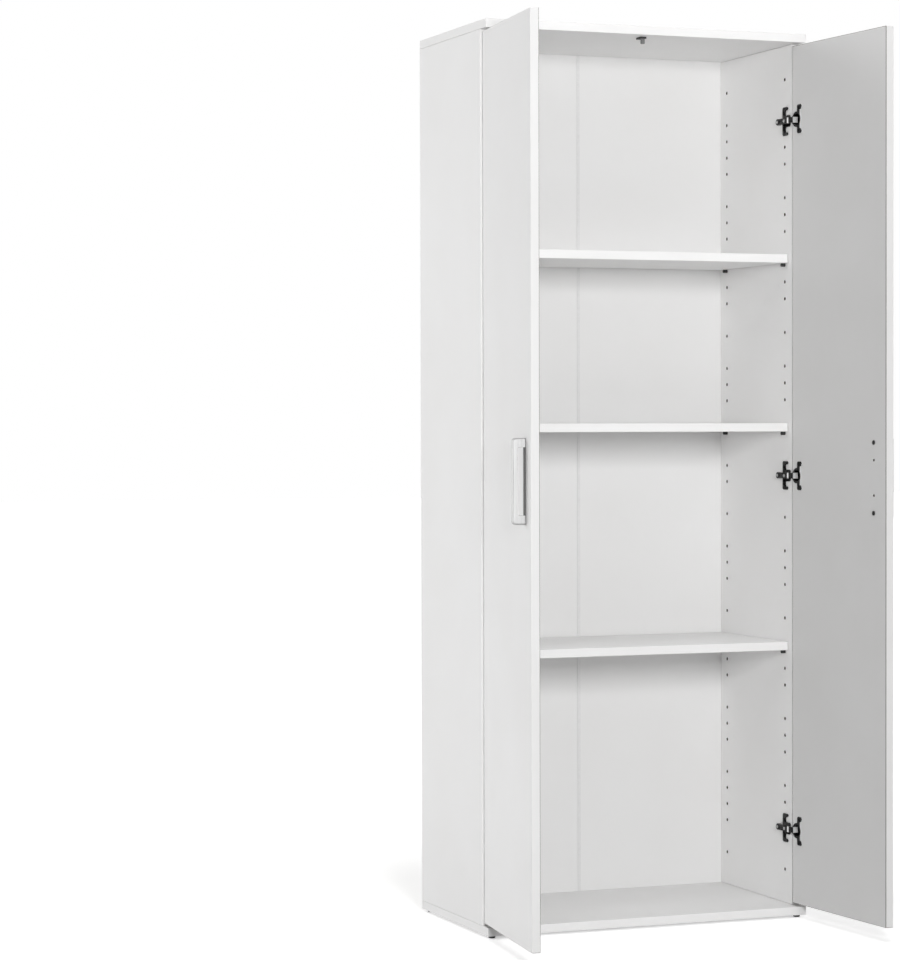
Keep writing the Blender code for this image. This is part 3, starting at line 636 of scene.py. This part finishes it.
def hinge(hand, level):
    """A hinge's plate, arm and cup with their screws."""
    stem = f"{hand}_hinge_{level}"

    plate = stem + "_plate"
    shape = mirrored(closed_copy(plate), hand)
    low, high = span(shape)
    height = (low.z + high.z) / 2
    finer(plate, "_pressed", mirrored(pressed(shape, X), hand))
    column = high.y - PLATE_SCREW_INSET
    places = [(low.x, column, height + z) for z in (-PLATE_SCREW_REACH, PLATE_SCREW_REACH)]
    add_screws(plate, hand, "dark_nickel", INWARD, places)

    arm = stem + "_arm"
    shape = mirrored(closed_copy(arm), hand)
    low, high = span(shape)
    finer(arm, "_lobed", mirrored(arm_shape(shape), hand), ("dark_nickel", "bright_nickel"))
    places = [(low.x, high.y + y, height) for y in ARM_SCREWS]
    add_screws(arm, hand, "zinc_steel", INWARD, places)

    cup = stem + "_cup"
    shape = mirrored(closed_copy(cup), hand)
    low, high = span(shape)
    # Painted highlight on the cup's rim faces that look inward, towards the door's free edge.
    shape = paint_highlight(pressed(shape, Y), INWARD, high.y - CUP_HIGHLIGHT_DEPTH, high.y)
    finer(cup, "_pressed", mirrored(shape, hand), ("dark_nickel", "bright_nickel"))
    column = low.x + CUP_SCREW_INSET
    places = [(column, high.y, height + z) for z in (-CUP_SCREW_REACH, CUP_SCREW_REACH)]
    add_screws(cup, hand, "dark_nickel", BEHIND, places)


for hand in HANDS:
    for level in LEVELS:
        hinge(hand, level)


# Small fittings

SMALL_EDGE = 0.25 * MM

for node in nodes:
    if node.startswith(("shelf_pin", "glide", "door_stop")):
        bm = closed_copy(node)
        finer(node, "_eased", ease(bm, sharp_edges(bm, angle=45), SMALL_EDGE))

for node, obj in nodes.items():
    obj.data.materials.clear()
    obj.data.materials.append(MATERIALS[slot_of[node]])


# Camera

CAMERA = Vector((-2.31443, -5.13397, 0.93626))
YAW = 0.36874               # radians to the right of +Y
PITCH = -0.01894
ROLL = -0.0025
LENS = 110.79               # mm, for a sensor 36 mm wide

ahead = Vector((sin(YAW), cos(YAW), 0))
across = Vector((cos(YAW), -sin(YAW), 0))
above = Vector((0, 0, 1))
forward = ahead * cos(PITCH) + above * sin(PITCH)
upward = above * cos(PITCH) - ahead * sin(PITCH)
side = across * cos(ROLL) + upward * sin(ROLL)
top = upward * cos(ROLL) - across * sin(ROLL)
camera_data = bpy.data.cameras.new("camera")
camera_data.lens = LENS
camera_data.sensor_width = 36
camera_data.clip_end = 100
camera = bpy.data.objects.new("camera", camera_data)
scene.collection.objects.link(camera)
turn = Matrix((side, top, -forward)).transposed()
camera.matrix_world = Matrix.Translation(CAMERA) @ turn.to_4x4()
scene.camera = camera


# Light and floor

SOFTBOXES = {  # place, aim, size and power
    "front": ((-1.2, -4.4, 1.55), (0, 0, 0.85), (0.7, 0.9), 105),
    "left": ((-3.0, 1.6, 1.6), (-0.3, 0, 0.9), (2.0, 2.4), 58),
    "right": ((3.0, 1.6, 1.6), (0.3, 0, 0.9), (2.0, 2.4), 28),
    "overhead": ((0, -1.2, 3.4), (0, 0, 0.8), (2.0, 1.6), 33),
}
WORLD_STRENGTH = 0.14
FLOOR_REACH = 30
FLOOR_DROP = 0.2 * MM       # below the feet
PAPER_TONE = 0.86
GLOW_DISTANCES = (0.6, 2.0)  # from the cabinet's middle, where the paper's glow grows
GLOW = (0.5, 1.0)           # at these distances


def softbox(name, place, target, size, power):
    data = bpy.data.lights.new(name, "AREA")
    data.shape = "RECTANGLE"
    data.size, data.size_y = size
    data.energy = power
    lamp = bpy.data.objects.new(name, data)
    scene.collection.objects.link(lamp)
    lamp.location = place
    lamp.rotation_euler = (Vector(target) - Vector(place)).to_track_quat("-Z", "Y").to_euler()
    lamp.visible_camera = False


def rays_that_see(tree):
    """A socket that is one for the rays that show the background: camera, glossy, transmission."""
    rays = tree.nodes.new("ShaderNodeLightPath")
    seen = rays.outputs["Is Camera Ray"]
    for kind in ("Is Glossy Ray", "Is Transmission Ray"):
        either = tree.nodes.new("ShaderNodeMath")
        either.operation = "MAXIMUM"
        tree.links.new(seen, either.inputs[0])
        tree.links.new(rays.outputs[kind], either.inputs[1])
        seen = either.outputs["Value"]
    return seen


def light_world():
    """A world that looks white and lights the cabinet only a little."""
    world = bpy.data.worlds.new("studio")
    scene.world = world
    world.use_nodes = True
    tree = world.node_tree
    tree.nodes.clear()
    strength = tree.nodes.new("ShaderNodeMapRange")
    strength.inputs["To Min"].default_value = WORLD_STRENGTH
    strength.inputs["To Max"].default_value = 1.0
    tree.links.new(rays_that_see(tree), strength.inputs["Value"])
    background = tree.nodes.new("ShaderNodeBackground")
    background.inputs["Color"].default_value = (1, 1, 1, 1)
    tree.links.new(strength.outputs["Result"], background.inputs["Strength"])
    output = tree.nodes.new("ShaderNodeOutputWorld")
    tree.links.new(background.outputs["Background"], output.inputs["Surface"])


def floor_paper():
    """Pale paper that keeps the shadow near the cabinet and looks white further out."""
    paper = bpy.data.materials.new("floor_paper")
    paper.use_nodes = True
    tree = paper.node_tree
    shader = tree.nodes["Principled BSDF"]
    shader.inputs["Base Color"].default_value = (*grey(PAPER_TONE), 1)
    shader.inputs["Roughness"].default_value = 0.9
    shader.inputs["Specular IOR Level"].default_value = 0.1
    shader.inputs["Emission Color"].default_value = (1, 1, 1, 1)
    place = tree.nodes.new("ShaderNodeTexCoord")
    distance = tree.nodes.new("ShaderNodeVectorMath")
    distance.operation = "LENGTH"
    tree.links.new(place.outputs["Object"], distance.inputs[0])
    whiter = tree.nodes.new("ShaderNodeMapRange")
    for key, value in zip(("From Min", "From Max", "To Min", "To Max"), (*GLOW_DISTANCES, *GLOW)):
        whiter.inputs[key].default_value = value
    tree.links.new(distance.outputs["Value"], whiter.inputs["Value"])
    glow = tree.nodes.new("ShaderNodeMath")
    glow.operation = "MULTIPLY"
    tree.links.new(rays_that_see(tree), glow.inputs[0])
    tree.links.new(whiter.outputs["Result"], glow.inputs[1])
    tree.links.new(glow.outputs["Value"], shader.inputs["Emission Strength"])
    return paper


for name, (place, aim, size, power) in SOFTBOXES.items():
    softbox(name, place, aim, size, power)
light_world()

bm = bmesh.new()
bmesh.ops.create_grid(bm, x_segments=1, y_segments=1, size=FLOOR_REACH)
mesh = bpy.data.meshes.new("floor")
bm.to_mesh(mesh)
bm.free()
mesh.materials.append(floor_paper())
floor = bpy.data.objects.new("floor", mesh)
scene.collection.objects.link(floor)
floor.location.z = -FLOOR_DROP

scene.view_settings.view_transform = "Standard"
